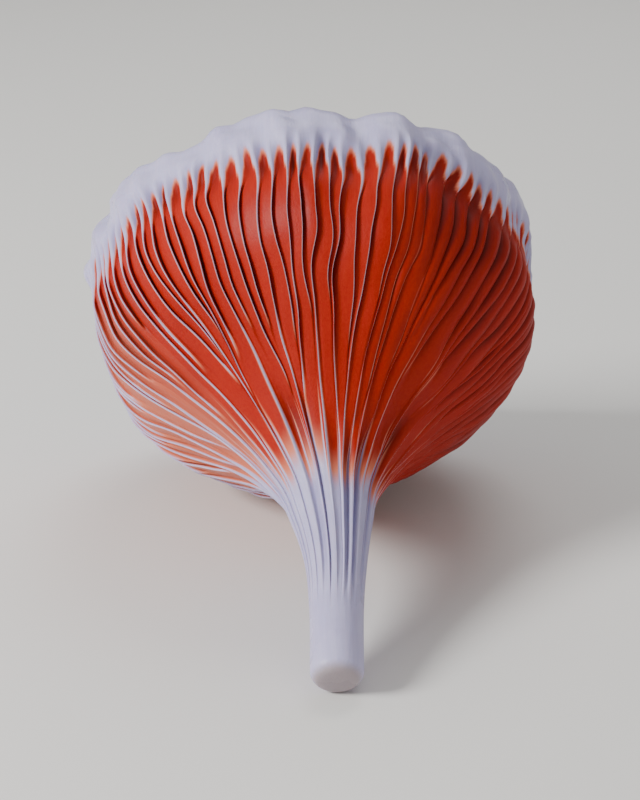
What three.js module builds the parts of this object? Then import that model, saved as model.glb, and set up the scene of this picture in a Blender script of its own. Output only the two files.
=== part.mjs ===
// A picked mushroom, lying on its side. Its gills run out of a smooth rolled margin,
// over a bulging underside and down the flared stem. It is one solid.
//
// Millimetres, +Z up. The mushroom is grown standing on its foot: its height runs along +Z
// and the side that it will lie on faces +Y. layDown then rests it on that side.

import * as THREE from 'three';

// --- Driving sizes: lengths in mm, azimuths in degrees ---

const CAP_RADIUS = 40; // widest reach of the underside, before the lobes of the margin
const FOOT_RADIUS = 4.15; // cut end of the stem
const FOOT_ROUNDING = 1.9; // rounded edge of the cut end
const STEM_LENGTH = 38; // foot to neck
const NECK_RADIUS = 9; // where the stem turns into the flare
const STEM_FLARE_POWER = 3.1; // how late the stem starts to widen
const STEM_DRIFT = 3.6; // the foot stands this far to +X of the cap's middle

const FLARE_RISE = 10.5; // neck to the middle of the flare
const FLARE_RADIUS = 17;
const SHOULDER_RISE = 15.7; // flare to shoulder
const SHOULDER_INSET = 5.3; // the shoulder lies this far inside the widest reach
const BELLY_RISE = 19; // shoulder to the top ends of the gills
const MARGIN_WIDTH = 6.8; // smooth band above the gills
const MARGIN_ROLL = 4.5; // radius by which the margin rolls over onto the cap
const CROWN_DIP = 12; // the middle of the cap lies this far below its rolled margin
const CAP_SLOPE = 0.13; // the cap leans: rise towards +Y for each mm of reach

const GILL_COUNT = 96;
const GILL_DEPTH = 1.9; // grooves between the gills on the belly
const STEM_RIDGE_DEPTH = 0.35; // the same grooves where they run down the stem
const RIDGE_FADE_START = 0.3; // share of the stem's length below which it is smooth
const RIDGE_FADE_END = 0.8; // and above which its ridges are full
const COMB_LENGTH = 1; // the grooves run out over this length at the gills' top ends
const SHORT_GILL_TAPER = 10.5; // a short gill rises to its full height over this length
const GILL_ROWS = 19; // mesh rows from the foot's rounding to the gills' top ends
const ROW_CROWDING = 0.65; // below 1, those rows crowd towards the cap

// After each gill that runs all the way down the stem come short ones, which end at these
// shares of the way from neck to shoulder.
const SHORT_GILL_ENDS = [0.55, 0.2];

// Lobes of the margin: azimuth, swell outwards and rise of the edge. The cap lies on the
// even pair on either side of 90.
const MARGIN_LOBES = [
  [10, -0.7, 0], [32, -0.2, 0], [52, -1.5, 0], [74, 1.3, 0], [90, -1.2, 0], [106, 1.3, 0],
  [128, 0.4, 0], [148, 1.5, 0], [170, -0.6, 0], [190, 0.3, 0], [206, -0.4, 0], [220, 0.4, -0.8],
  [241, -1.4, -1.4], [266, 0.6, -0.2], [279, -1, -0.8], [290, 0.5, 0], [303, 0.3, 0.9],
  [318, 0.9, 0.5], [332, -0.1, 1.5], [346, -0.3, 1],
];

// --- Heights that follow from the sizes ---

const NECK_HEIGHT = STEM_LENGTH;
const FLARE_HEIGHT = NECK_HEIGHT + FLARE_RISE;
const SHOULDER_HEIGHT = FLARE_HEIGHT + SHOULDER_RISE;
const GILL_TOP_HEIGHT = SHOULDER_HEIGHT + BELLY_RISE;
const MARGIN_HEIGHT = GILL_TOP_HEIGHT + MARGIN_WIDTH;

// --- Search for the tilt at which it rests ---

const STEEPEST_TILT = 80; // degrees between the stem and the floor
const TILT_HALVINGS = 40;

// --- Small helpers ---

const ease = (from, to, value) => THREE.MathUtils.smoothstep(value, from, to);

function arc(centreRadius, centreHeight, radius, fromAngle, toAngle, steps) {
  const points = [];
  for (let i = 0; i <= steps; i += 1) {
    const angle = THREE.MathUtils.degToRad(fromAngle + ((toAngle - fromAngle) * i) / steps);
    points.push(new THREE.Vector2(
      centreRadius + radius * Math.cos(angle),
      centreHeight + radius * Math.sin(angle),
    ));
  }
  return points;
}

// --- The outline: radius (x) against height (y), from the foot to the crown ---

function undersidePoints() {
  const stem = [0, 0.3, 0.55, 0.8, 1].map((share) => new THREE.Vector2(
    FOOT_RADIUS + (NECK_RADIUS - FOOT_RADIUS) * share ** STEM_FLARE_POWER,
    FOOT_ROUNDING + (STEM_LENGTH - FOOT_ROUNDING) * share,
  ));
  return [
    ...stem,
    new THREE.Vector2(FLARE_RADIUS, FLARE_HEIGHT),
    new THREE.Vector2(CAP_RADIUS - SHOULDER_INSET, SHOULDER_HEIGHT),
    new THREE.Vector2(CAP_RADIUS, GILL_TOP_HEIGHT),
    new THREE.Vector2(CAP_RADIUS, MARGIN_HEIGHT),
  ];
}

function outline() {
  const foot = arc(FOOT_RADIUS - FOOT_ROUNDING, FOOT_ROUNDING, FOOT_ROUNDING, -90, -30, 2);
  const curve = new THREE.SplineCurve(undersidePoints());
  // The last span between the curve's points is the smooth margin, and the rest has gills.
  const spans = curve.points.length - 1;
  const gillShare = (spans - 1) / spans;
  const underside = [];
  for (let i = 0; i < GILL_ROWS; i += 1) {
    underside.push(curve.getPoint(gillShare * (i / (GILL_ROWS - 1)) ** ROW_CROWDING));
  }
  const margin = [1 / 3, 2 / 3].map((share) => (
    curve.getPoint(THREE.MathUtils.lerp(gillShare, 1, share))
  ));
  const rollRadius = CAP_RADIUS - MARGIN_ROLL;
  const roll = arc(rollRadius, MARGIN_HEIGHT, MARGIN_ROLL, 0, 90, 3);
  const crown = [0.75, 0.5, 0.25].map((share) => new THREE.Vector2(
    rollRadius * share,
    MARGIN_HEIGHT + MARGIN_ROLL - crownDip(share),
  ));
  return [...foot, ...underside, ...margin, ...roll, ...crown];
}

function crownDip(share) {
  return CROWN_DIP * 0.5 * (1 + Math.cos(Math.PI * share));
}

// --- What turns the round outline into the real shape ---

// Swell and rise of the margin at an azimuth, easing from one lobe to the next.
function lobeAt(azimuth) {
  const turn = ((azimuth % 360) + 360) % 360;
  const next = MARGIN_LOBES.findIndex((lobe) => lobe[0] > turn);
  const after = MARGIN_LOBES[next < 0 ? 0 : next];
  const before = MARGIN_LOBES.at(next < 0 ? -1 : next - 1);
  const span = (after[0] - before[0] + 360) % 360;
  const share = ease(0, span, (turn - before[0] + 360) % 360);
  return {
    swell: THREE.MathUtils.lerp(before[1], after[1], share),
    rise: THREE.MathUtils.lerp(before[2], after[2], share),
  };
}

// How deep a column of the mesh is sunk below the gills' edges at a height.
function grooveDepth(column, height) {
  const fadeIn = ease(RIDGE_FADE_START * STEM_LENGTH, RIDGE_FADE_END * STEM_LENGTH, height);
  const onCap = ease(NECK_HEIGHT, SHOULDER_HEIGHT, height);
  const combed = 1 - ease(GILL_TOP_HEIGHT - COMB_LENGTH, GILL_TOP_HEIGHT, height);
  const depth = THREE.MathUtils.lerp(STEM_RIDGE_DEPTH * fadeIn, GILL_DEPTH, onCap) * combed;
  if (column % 2 === 1) {
    return depth;
  }
  const gill = column / 2;
  const turn = gill % (1 + SHORT_GILL_ENDS.length);
  if (turn === 0) {
    return 0;
  }
  const end = THREE.MathUtils.lerp(NECK_HEIGHT, SHOULDER_HEIGHT, SHORT_GILL_ENDS[turn - 1]);
  return depth * (1 - ease(end, end + SHORT_GILL_TAPER, height));
}

function surfacePoint(point, azimuth, sunk) {
  const turn = THREE.MathUtils.degToRad(azimuth);
  const lobe = lobeAt(azimuth);
  const reach = point.x / CAP_RADIUS;
  const swell = lobe.swell * reach * ease(NECK_HEIGHT, GILL_TOP_HEIGHT, point.y);
  const rise = lobe.rise * reach * ease(SHOULDER_HEIGHT, MARGIN_HEIGHT, point.y);
  const radius = point.x + swell - sunk;
  const y = radius * Math.sin(turn);
  const lean = CAP_SLOPE * y * ease(FLARE_HEIGHT, GILL_TOP_HEIGHT, point.y);
  const drift = STEM_DRIFT * (1 - ease(STEM_LENGTH / 2, SHOULDER_HEIGHT, point.y));
  return new THREE.Vector3(radius * Math.cos(turn) + drift, y, point.y + lean + rise);
}

// --- The mesh: rings of the outline, closed by a point at the foot and one at the crown ---

function closedSkin(rings, footPoint, crownPoint) {
  const size = rings[0].length;
  const vertices = [footPoint, crownPoint, ...rings.flat()];
  const at = (ring, column) => 2 + ring * size + (column % size);
  const faces = [];
  for (let column = 0; column < size; column += 1) {
    faces.push(0, at(0, column + 1), at(0, column));
    for (let ring = 0; ring < rings.length - 1; ring += 1) {
      faces.push(at(ring, column), at(ring, column + 1), at(ring + 1, column));
      faces.push(at(ring + 1, column), at(ring, column + 1), at(ring + 1, column + 1));
    }
    faces.push(1, at(rings.length - 1, column), at(rings.length - 1, column + 1));
  }
  const geometry = new THREE.BufferGeometry().setFromPoints(vertices);
  geometry.setIndex(faces);
  return geometry;
}

function standingMushroom() {
  const columns = 2 * GILL_COUNT;
  const points = outline();
  const rings = points.map((point) => Array.from({ length: columns }, (_, column) => {
    const sunk = point.y <= GILL_TOP_HEIGHT ? grooveDepth(column, point.y) : 0;
    return surfacePoint(point, (column * 360) / columns, sunk);
  }));
  const crownHeight = MARGIN_HEIGHT + MARGIN_ROLL - crownDip(0);
  return closedSkin(
    rings,
    surfacePoint(new THREE.Vector2(0, 0), 0, 0),
    surfacePoint(new THREE.Vector2(0, crownHeight), 0, 0),
  );
}

// --- Lying down ---

// Lowest point of the stem and of the cap once the stem's axis stands tilt degrees above the
// floor, with the cap towards +Y.
function lowestPoints(geometry, tilt) {
  const angle = THREE.MathUtils.degToRad(tilt);
  const position = geometry.attributes.position;
  const lowest = { stem: Infinity, cap: Infinity };
  for (let i = 0; i < position.count; i += 1) {
    const end = position.getZ(i) < STEM_LENGTH / 2 ? 'stem' : 'cap';
    const height = position.getZ(i) * Math.sin(angle) - position.getY(i) * Math.cos(angle);
    lowest[end] = Math.min(lowest[end], height);
  }
  return lowest;
}

// The tilt at which foot and cap touch the floor together.
function restingTilt(geometry) {
  let low = 0;
  let high = STEEPEST_TILT;
  for (let step = 0; step < TILT_HALVINGS; step += 1) {
    const tilt = (low + high) / 2;
    const lowest = lowestPoints(geometry, tilt);
    if (lowest.cap < lowest.stem) {
      low = tilt;
    } else {
      high = tilt;
    }
  }
  return (low + high) / 2;
}

// Lays the mushroom on foot and cap, with the origin below the middle of its bounding box.
function layDown(geometry) {
  const tilt = restingTilt(geometry);
  geometry.rotateX(THREE.MathUtils.degToRad(tilt - 90));
  geometry.computeBoundingBox();
  const box = geometry.boundingBox;
  const centre = box.getCenter(new THREE.Vector3());
  geometry.translate(-centre.x, -centre.y, -box.min.z);
  geometry.computeVertexNormals();
  return geometry;
}

const flesh = new THREE.MeshStandardMaterial({ color: 0xb5503a, roughness: 0.6, metalness: 0 });
const mushroom = new THREE.Mesh(layDown(standingMushroom()), flesh);
mushroom.name = 'mushroom';

const part = new THREE.Group();
part.add(mushroom);

export default part;
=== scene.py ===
# %% [markdown]
# # A picked mushroom, lying on its side
#
# This lesson builds one mushroom: a slim stem that flares into a bulging underside, covered
# with thin red gills, and closed by a pale margin that rolls over onto the cap. It is a single
# piece of flesh, so it becomes a single closed mesh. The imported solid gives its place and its
# outer size; the fine shape is grown here, in millimetres, standing on its foot, and is laid
# down at the end.

import math

import bpy
import numpy as np
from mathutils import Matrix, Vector


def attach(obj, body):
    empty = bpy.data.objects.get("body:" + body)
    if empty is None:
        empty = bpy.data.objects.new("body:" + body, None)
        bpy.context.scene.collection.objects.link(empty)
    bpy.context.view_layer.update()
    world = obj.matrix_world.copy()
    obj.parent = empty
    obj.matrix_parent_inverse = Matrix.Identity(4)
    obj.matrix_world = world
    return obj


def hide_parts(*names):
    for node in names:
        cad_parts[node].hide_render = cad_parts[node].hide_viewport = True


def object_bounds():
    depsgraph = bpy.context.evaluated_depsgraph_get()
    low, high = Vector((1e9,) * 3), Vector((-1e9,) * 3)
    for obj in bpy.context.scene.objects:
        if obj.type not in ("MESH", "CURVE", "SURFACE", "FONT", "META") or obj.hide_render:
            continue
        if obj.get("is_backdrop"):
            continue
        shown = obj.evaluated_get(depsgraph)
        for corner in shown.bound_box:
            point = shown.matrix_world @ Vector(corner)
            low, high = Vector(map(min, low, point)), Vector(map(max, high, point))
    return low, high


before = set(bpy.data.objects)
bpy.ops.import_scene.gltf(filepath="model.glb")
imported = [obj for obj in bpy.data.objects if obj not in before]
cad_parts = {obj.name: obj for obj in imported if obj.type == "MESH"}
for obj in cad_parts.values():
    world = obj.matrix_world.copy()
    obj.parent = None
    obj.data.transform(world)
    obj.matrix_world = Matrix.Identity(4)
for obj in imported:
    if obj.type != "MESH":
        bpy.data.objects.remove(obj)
cad_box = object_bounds()
MM = 0.001

print("box in mm:", [[round(c / MM, 1) for c in corner] for corner in cad_box])

# %% [markdown]
# ## The sizes
#
# The solid and the fine shape have to agree, so they share their driving sizes. Heights are
# counted up the stem from the cut foot. An azimuth of 270 degrees is the side that ends up on
# top, and 90 degrees is the side that the mushroom lies on.

# %% Driving sizes, in mm
CAP_RADIUS = 40.0
FOOT_RADIUS = 4.15
FOOT_ROUNDING = 1.9
STEM_LENGTH = 38.0
NECK_RADIUS = 9.0
STEM_FLARE_POWER = 3.1
STEM_DRIFT = 3.6
FLARE_RADIUS = 17.0
FLARE_HEIGHT = STEM_LENGTH + 10.5
SHOULDER_RADIUS = CAP_RADIUS - 5.3
SHOULDER_HEIGHT = FLARE_HEIGHT + 15.7
GILL_TOP_HEIGHT = SHOULDER_HEIGHT + 19.0
MARGIN_HEIGHT = GILL_TOP_HEIGHT + 6.8
MARGIN_ROLL = 4.5
CROWN_DIP = 12.0
CAP_SLOPE = 0.13

print("standing height:", MARGIN_HEIGHT + MARGIN_ROLL, "mm")

# %% [markdown]
# ## The outline
#
# Half a section through the mushroom is one smooth line. A lathe could turn it, but the lobes
# and gills differ all the way round, so the line is only the guide for rings of points. The
# long flank is a Catmull-Rom spline, which passes through each of its few points; the foot's
# edge and the rolled margin are arcs.


# %% Easing and the spline
def ease(start, end, value):
    """0 before start, 1 after end and a soft S between them."""
    share = np.clip((value - start) / (end - start), 0.0, 1.0)
    return share * share * (3.0 - 2.0 * share)


def blend(a, b, share):
    """The value that lies a share of the way from a to b."""
    return a + (b - a) * share


def spline(points, share):
    """Catmull-Rom through the points; share runs from 0 to 1 over all of them."""
    points = np.asarray(points)
    last = len(points) - 1
    place = np.clip(share, 0.0, 1.0) * last
    start = np.minimum(place.astype(int), last - 1)
    t = (place - start)[:, None]
    before = points[np.maximum(start - 1, 0)]
    here, there = points[start], points[start + 1]
    after = points[np.minimum(start + 2, last)]
    leave, arrive = (there - before) / 2, (after - here) / 2
    cubic = (2 * here - 2 * there + leave + arrive) * t**3
    square = (3 * there - 3 * here - 2 * leave - arrive) * t**2
    return cubic + square + leave * t + here


print("an ease from 0 to 1 passes", round(float(ease(0.0, 1.0, 0.25)), 2), "at a quarter")

# %% [markdown]
# ## The flank
#
# On the real mushroom the flank is everything from the cut foot to the margin: a slim stem, a
# flare and a bulging belly. Its few points could be typed in one by one, but then no size could
# change alone. Here each point comes from the driving sizes, and the stem's flare is a power
# curve, which stays slim for long and then opens quickly, as the real one does.


# %% The flank, from foot to margin
def flank_points():
    """Radius and height of the spline's points."""
    share = np.array([0.0, 0.3, 0.55, 0.8, 1.0])
    radius = FOOT_RADIUS + (NECK_RADIUS - FOOT_RADIUS) * share**STEM_FLARE_POWER
    height = FOOT_ROUNDING + (STEM_LENGTH - FOOT_ROUNDING) * share
    cap = [
        (FLARE_RADIUS, FLARE_HEIGHT),
        (SHOULDER_RADIUS, SHOULDER_HEIGHT),
        (CAP_RADIUS, GILL_TOP_HEIGHT),
        (CAP_RADIUS, MARGIN_HEIGHT),
    ]
    return np.vstack([np.column_stack([radius, height]), cap])


def evenly_along(points, start_height, end_height, rows):
    """Points of the spline at even steps of length between two heights."""
    dense = spline(points, np.linspace(0.0, 1.0, 4001))
    length = np.concatenate([[0.0], np.cumsum(np.hypot(*np.diff(dense, axis=0).T))])
    start, end = np.interp([start_height, end_height], dense[:, 1], length)
    steps = np.linspace(start, end, rows)
    return np.column_stack([np.interp(steps, length, dense[:, i]) for i in (0, 1)])


def arc(centre, radius, start, end, rows):
    """Points on a circle between two angles in degrees."""
    angle = np.radians(np.linspace(start, end, rows))
    return np.column_stack(
        [centre[0] + radius * np.cos(angle), centre[1] + radius * np.sin(angle)]
    )


print("the flank's spline passes through", len(flank_points()), "points")

# %% [markdown]
# ## Rows of the mesh
#
# A mushroom's skin has no rows, but a mesh that follows it needs them. A remesh would spread
# points evenly and blur the gills' thin edges. Rows along the outline put many points where the
# gills are, 0.7 mm apart, and few on the smooth foot and cap. The outline starts under the foot,
# turns its rounded edge, runs up the flank, over the rolled margin and down into the crown's dip.

# %% Rows of the mesh, from foot to crown
RIDGE_START = 8.0  # height in mm, below which the stem is smooth
GILL_ZONE_END = GILL_TOP_HEIGHT + 5.6
ROWS_CHANGE_AT = STEM_LENGTH - 2  # the rows stand closer together above this height
STEM_ROWS = 20
CAP_ROWS = 94
FOOT_BULGE = 0.1  # the cut face is slightly domed, by this much in its middle
CROWN_HOLE = 0.06  # the last ring's radius, as a share of the first one's


def outline_rows():
    """Rows of radius and height, and the first and last of those with the gills' columns."""
    flank = flank_points()
    sole = FOOT_RADIUS - FOOT_ROUNDING
    foot = [np.column_stack([sole * np.array([0.35, 0.7]), [-FOOT_BULGE, -FOOT_BULGE / 2]])]
    foot.append(arc((sole, FOOT_ROUNDING), FOOT_ROUNDING, -90, 0, 7))
    foot.append(evenly_along(flank, FOOT_ROUNDING, RIDGE_START, 6)[1:-1])
    stem = evenly_along(flank, RIDGE_START, ROWS_CHANGE_AT, STEM_ROWS)
    gills = evenly_along(flank, ROWS_CHANGE_AT, GILL_ZONE_END, CAP_ROWS)[1:]
    cap = [evenly_along(flank, GILL_ZONE_END, MARGIN_HEIGHT, 3)[1:]]
    roll = (CAP_RADIUS - MARGIN_ROLL, MARGIN_HEIGHT)
    cap.append(arc(roll, MARGIN_ROLL, 0, 90, 10)[1:])
    share = np.linspace(1.0, CROWN_HOLE, 18)[1:]
    dip = CROWN_DIP * 0.5 * (1 + np.cos(np.pi * share))
    cap.append(np.column_stack([roll[0] * share, MARGIN_HEIGHT + MARGIN_ROLL - dip]))
    foot, cap = np.vstack(foot), np.vstack(cap)
    gilled = np.vstack([stem, gills])
    return np.vstack([foot, gilled, cap]), len(foot), len(foot) + len(gilled)


rows, gill_from, gill_to = outline_rows()
row_radius, row_height = rows[:, 0], rows[:, 1]
slope = np.gradient(rows, axis=0)
slope /= np.linalg.norm(slope, axis=1)[:, None]
row_out = np.column_stack([slope[:, 1], -slope[:, 0]])  # points out of the flesh
row_along = np.concatenate([[0.0], np.cumsum(np.hypot(*np.diff(rows, axis=0).T))])
print(len(rows), "rows,", gill_to - gill_from, "of them with gills,", round(row_along[-1]), "mm")

# %% [markdown]
# ## The lobes of the margin
#
# A mushroom's margin is never a true circle: it swells and dips as it unrolls, and its edge
# rises and falls. Noise could do that, but the mushroom has to rest on the even pair of lobes
# beside 90 degrees, so the lobes are set one by one: azimuth, swell outwards, rise of the edge
# and how far the gills' top ends climb towards it.

# %% Lobes
MARGIN_LOBES = np.array([
    (10, -1.2, 0, 1), (32, -0.2, 0, 0), (52, -1.5, 0, -1), (74, 1.3, 0, 1), (90, -1.2, 0, 0),
    (106, 1.3, 0, 1), (128, 0.4, 0, -1), (148, 1.5, 0, 0), (170, -0.6, 0, 1), (190, 0.3, 0, 0),
    (206, -0.4, 0, -1), (220, 0.4, -1.1, -1.6), (237, -1.4, -2.0, 2), (249, -0.6, -0.2, 0.6),
    (266, 0.6, -0.2, -0.6), (279, -1, -0.8, 0.8), (290, 0.5, 0.5, 1.2), (303, 0.3, 0.4, 2.2),
    (320, 0.6, 0.3, -0.2), (334, -0.2, 2.2, 1.6), (346, -1.0, 1, 2.4),
])
SWELL, RISE, CLIMB = 1, 2, 3


def lobe(azimuth, what):
    """Swell, rise or climb at azimuths in degrees, easing from lobe to lobe."""
    first, last = MARGIN_LOBES[0], MARGIN_LOBES[-1]
    around = np.concatenate([[last[0] - 360], MARGIN_LOBES[:, 0], [first[0] + 360]])
    value = np.concatenate([[last[what]], MARGIN_LOBES[:, what], [first[what]]])
    turn = np.mod(azimuth, 360.0)
    turn = np.where(turn > around[-1], turn - 360.0, turn)
    turn = np.where(turn < around[0], turn + 360.0, turn)
    start = np.clip(np.searchsorted(around, turn, side="right") - 1, 0, len(around) - 2)
    share = ease(0.0, 1.0, (turn - around[start]) / (around[start + 1] - around[start]))
    return blend(value[start], value[start + 1], share)


print(len(MARGIN_LOBES), "lobes, the widest out by", MARGIN_LOBES[:, SWELL].max(), "mm")

# %% [markdown]
# ## From the round outline to the grown shape
#
# A real mushroom leans towards the light and its stem wanders. A lattice or a bend modifier
# could lean the finished mesh, but both are hard to steer to a tenth of a millimetre. One
# function moves each point instead: out with the lobes, up with the rise, and aside with the
# lean of the cap and the drift of the stem.


# %% Where a point of the outline goes
def place(radius, height, azimuth):
    """A point of the round outline, moved to where the lobed and leaning shape has it."""
    reach = radius / CAP_RADIUS
    swell = lobe(azimuth, SWELL) * reach * ease(STEM_LENGTH, GILL_TOP_HEIGHT, height)
    rise = lobe(azimuth, RISE) * reach * ease(SHOULDER_HEIGHT, MARGIN_HEIGHT, height)
    turn = np.radians(azimuth)
    y = (radius + swell) * np.sin(turn)
    lean = CAP_SLOPE * y * ease(FLARE_HEIGHT, GILL_TOP_HEIGHT, height)
    drift = STEM_DRIFT * (1 - ease(STEM_LENGTH / 2, SHOULDER_HEIGHT, height))
    x = (radius + swell) * np.cos(turn) + drift
    return np.stack([x, y, height + lean + rise], axis=-1)


margin_top = place(CAP_RADIUS, MARGIN_HEIGHT, 270.0)
print("the margin's widest ring at 270 degrees is at", np.round(margin_top, 1), "mm")

# %% [markdown]
# ## The gills
#
# Real gills are thin plates that hang from the flesh. Here they lean over and overlap like
# shingles, so what shows of each is a smooth rounded face that ends in a thin pale edge, with
# a dark slit behind it. One in four runs down the stem as a low ridge, and the others end on
# the way: the shorter they are, the more of them there are. Separate sheets would leave seams
# where they meet the flesh, so all the gills are folds of one skin instead: each row of the
# mesh runs over a face, round its edge and back under it, with eight points to a gill.

# %% Rows and columns of the gills
GILL_COUNT = 96
POINTS_PER_GILL = 8
rng = np.random.default_rng(7)

gill = np.arange(GILL_COUNT)[:, None]
height = row_height[gill_from:gill_to][None, :]
along = row_along[gill_from:gill_to][None, :]
pitch = 2 * math.pi * row_radius[gill_from:gill_to][None, :] / GILL_COUNT
on_cap = ease(STEM_LENGTH, SHOULDER_HEIGHT, height)
print("from gill to gill:", np.round([pitch.min(), pitch.max()], 2), "mm, on stem and cap")

# %% [markdown]
# ## What makes the gills differ
#
# No two gills are alike: neighbours bend together where the flesh grew unevenly, and each has
# small bends of its own. A noise texture on a displace modifier would move points in and out
# only. Sums of sine waves bend neighbours together and close without a seam round the stem, and
# random values that ease from one to the next give each gill its own bends. Both come from one
# seeded generator, so the mushroom is the same each time.


# %% Waves that run across the gills, and a wobble of each gill's own
def waves(count, across, lengthwise):
    """Smooth noise over (gill, row) that closes round the stem; mostly -1 to 1."""
    total = np.zeros((GILL_COUNT, height.shape[1]))
    for _ in range(count):
        turns = rng.integers(across[0], across[1] + 1) * rng.choice([-1, 1])
        length = rng.uniform(*lengthwise)
        phase = rng.uniform(0, 2 * math.pi)
        total += np.sin(2 * math.pi * (turns * gill / GILL_COUNT + along / length) + phase)
    return total / math.sqrt(count)


def own_wobble(step_mm):
    """Noise of -1 to 1 that each gill has to itself, with a new value every step_mm."""
    knots = int(row_along[-1] / step_mm) + 3
    value = rng.uniform(-1, 1, (GILL_COUNT, knots))
    spot = along[0] / step_mm
    start = spot.astype(int)
    return blend(value[:, start], value[:, start + 1], ease(0, 1, spot - start))


WHOLE_GILL = 300.0  # a step longer than any gill, for a value that hardly changes along it
print("each gill's row of points is", round(float(along[0, -1] - along[0, 0]), 1), "mm long")

# %% [markdown]
# ## Kinds of gill
#
# Between two gills that reach the stem, a real mushroom fits shorter ones, so that the plates
# stay about as close together on the wide cap as on the narrow stem. They could be placed by
# chance, but then some would bunch up. Here they come in sets of four: a long gill, a short
# one, a middling one and a short one. The helpers sort arrays by kind and put them back.


# %% Sets of four gills
SETS = GILL_COUNT // 4
LONG, FIRST_SHORT, MIDDLING, LAST_SHORT = range(4)


def of_kind(values, kind):
    """The rows of an array over all the gills that belong to one kind."""
    return values[kind::4]


def all_kinds(long, first_short, middling, last_short):
    """One array over all the gills, from an array for each kind."""
    stack = np.stack([long, first_short, middling, last_short], axis=1)
    return stack.reshape(GILL_COUNT, -1)


def next_set(values, step=0.0):
    """The same kind of gill in the next set round the stem."""
    rolled = np.roll(values, -1, axis=0)
    rolled[-1] += step
    return rolled


print(SETS, "sets of", GILL_COUNT // SETS, "gills")

# %% [markdown]
# ## Where each gill ends
#
# A short gill doesn't stop dead: its edge sinks into its neighbour's face over a centimetre or
# so. Cutting separate sheets to length would leave open ends. Here each gill only says how far
# up it stands at each height, from 0 where it has ended to 1 where it is full. On one side the
# plates are broad and few, because there the short ones end higher up.

# %% How far up each gill stands
BROAD_PLATES_AT = 148.0  # azimuth, in degrees
BROAD_PLATES_END_HIGHER = 7.0  # mm


def broad_plates(azimuth):
    """1 on the side where the plates are broad and few, 0 elsewhere."""
    return ease(0.35, 0.95, np.cos(np.radians(azimuth - BROAD_PLATES_AT)))


def standing(lowest, highest, run_out):
    """How far up each gill stands (1 full, 0 gone) and how close it is to its end."""
    set_azimuth = 360.0 * np.arange(SETS)[:, None] / SETS
    raised = BROAD_PLATES_END_HIGHER * broad_plates(set_azimuth)
    end = rng.uniform(lowest, highest, (SETS, 1)) + raised
    return ease(end, end + run_out, height), 1 - ease(end - 1, end + 2 * run_out, height)


broad_side = broad_plates(np.arange(0.0, 360.0))
print("degrees of the way round with broad plates:", int((broad_side > 0.5).sum()))

# %% [markdown]
# ## How the gills run
#
# Seen from below, real gills run in gentle shared curves, and most short ones close up to one
# neighbour before they end, like a branch joining. Bending curves by hand would take one curve
# for each gill. Here a long gill keeps its own place plus the waves, and every shorter one is
# placed between its two neighbours, so that their edges keep their order. Places are counted in
# gills, from 0 to 96 round the stem.


# %% Where each gill's edge runs
def between(left, right, going, own_shift):
    """Places of gills between two others; most close up to one of them as they end."""
    closing = rng.choice([-1, 1], (SETS, 1)) * rng.choice([0.4, 0.4, 0.06], (SETS, 1))
    return blend(left, right, np.clip(0.5 + closing * going + own_shift, 0.06, 0.94))


wander = waves(5, (2, 6), (45, 90)) * 0.25 + waves(4, (7, 14), (12, 26)) * 0.08
wander = wander + own_wobble(6) * 0.13 + own_wobble(WHOLE_GILL) * 0.2
own_share = own_wobble(7) * 0.05 + own_wobble(WHOLE_GILL) * 0.1
own_share = own_share + waves(4, (10, 30), (15, 40)) * 0.02

long_at = of_kind(gill + wander * blend(0.5, 1.0, on_cap), LONG)
next_long_at = next_set(long_at, GILL_COUNT)
mid_stands, mid_goes = standing(STEM_LENGTH - 3, FLARE_HEIGHT - 2, 9)
mid_at = between(long_at, next_long_at, mid_goes, of_kind(own_share, MIDDLING))
first_stands, goes = standing(STEM_LENGTH + 2, SHOULDER_HEIGHT - 11, 12)
first_at = between(long_at, mid_at, goes, of_kind(own_share, FIRST_SHORT))
last_stands, goes = standing(STEM_LENGTH + 2, SHOULDER_HEIGHT - 11, 12)
last_at = between(mid_at, next_long_at, goes, of_kind(own_share, LAST_SHORT))

edge_at = all_kinds(long_at, first_at, mid_at, last_at)
stands = all_kinds(np.ones_like(long_at), first_stands, mid_stands, last_stands)
edge_azimuth = 360.0 * edge_at / GILL_COUNT
for name, row in (("the flare", STEM_ROWS), ("the belly", STEM_ROWS + CAP_ROWS // 2)):
    print("gills that stand on", name + ":", int((stands[:, row] > 0.5).sum()))

# %% [markdown]
# ## Steps between the gills
#
# A step is how far a gill's edge stands above the face behind it: the open height of the slit.
# On the stem it is a tenth of a millimetre, a low ridge that a thumb could feel, and on the
# belly three quarters of one. Bump in the material could fake the ridges but not the slits,
# because a slit hides what lies behind it. At the top the gills widen into the margin like the
# teeth of a comb, with a groove between two teeth.

# %% How far each edge stands above the face behind it, in mm
TURNED_UNDER_AT = 5.0  # on this side the edges turn under, so the folds are round
BELLY_STEP = 0.76
STEM_STEP = 0.12
RIDGE_HOLLOW = 0.42  # hollow between two of the stem's ridges, as a share of their spacing
FOLD_HOLLOW = 0.2  # hollow along the middle of each gill's face, in mm
COMB_LENGTH = 5.0  # the gills' top ends widen over this length into the margin
COMB_GROOVE = 0.8  # hollow between two of the comb's teeth
RIDGES_FULL_AT = STEM_LENGTH - 17  # height at which the stem's ridges have their full size
STEP_GROWS = (0.5, 12.0)  # steps grow from nothing to full this far below the comb's top

comb_top = GILL_TOP_HEIGHT + lobe(edge_azimuth, CLIMB) + own_wobble(WHOLE_GILL) * 0.8
below_comb = comb_top - height
comb = ease(0.0, COMB_LENGTH, below_comb)  # 0 in the margin, 1 among the full gills
ridge_start = RIDGE_START + 2 + 2 * own_wobble(WHOLE_GILL)
on_stem = ease(ridge_start, RIDGES_FULL_AT, height)
broad = broad_plates(edge_azimuth)
turned_under = ease(0.18, 0.5, np.cos(np.radians(edge_azimuth - TURNED_UNDER_AT))) * on_cap

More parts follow.
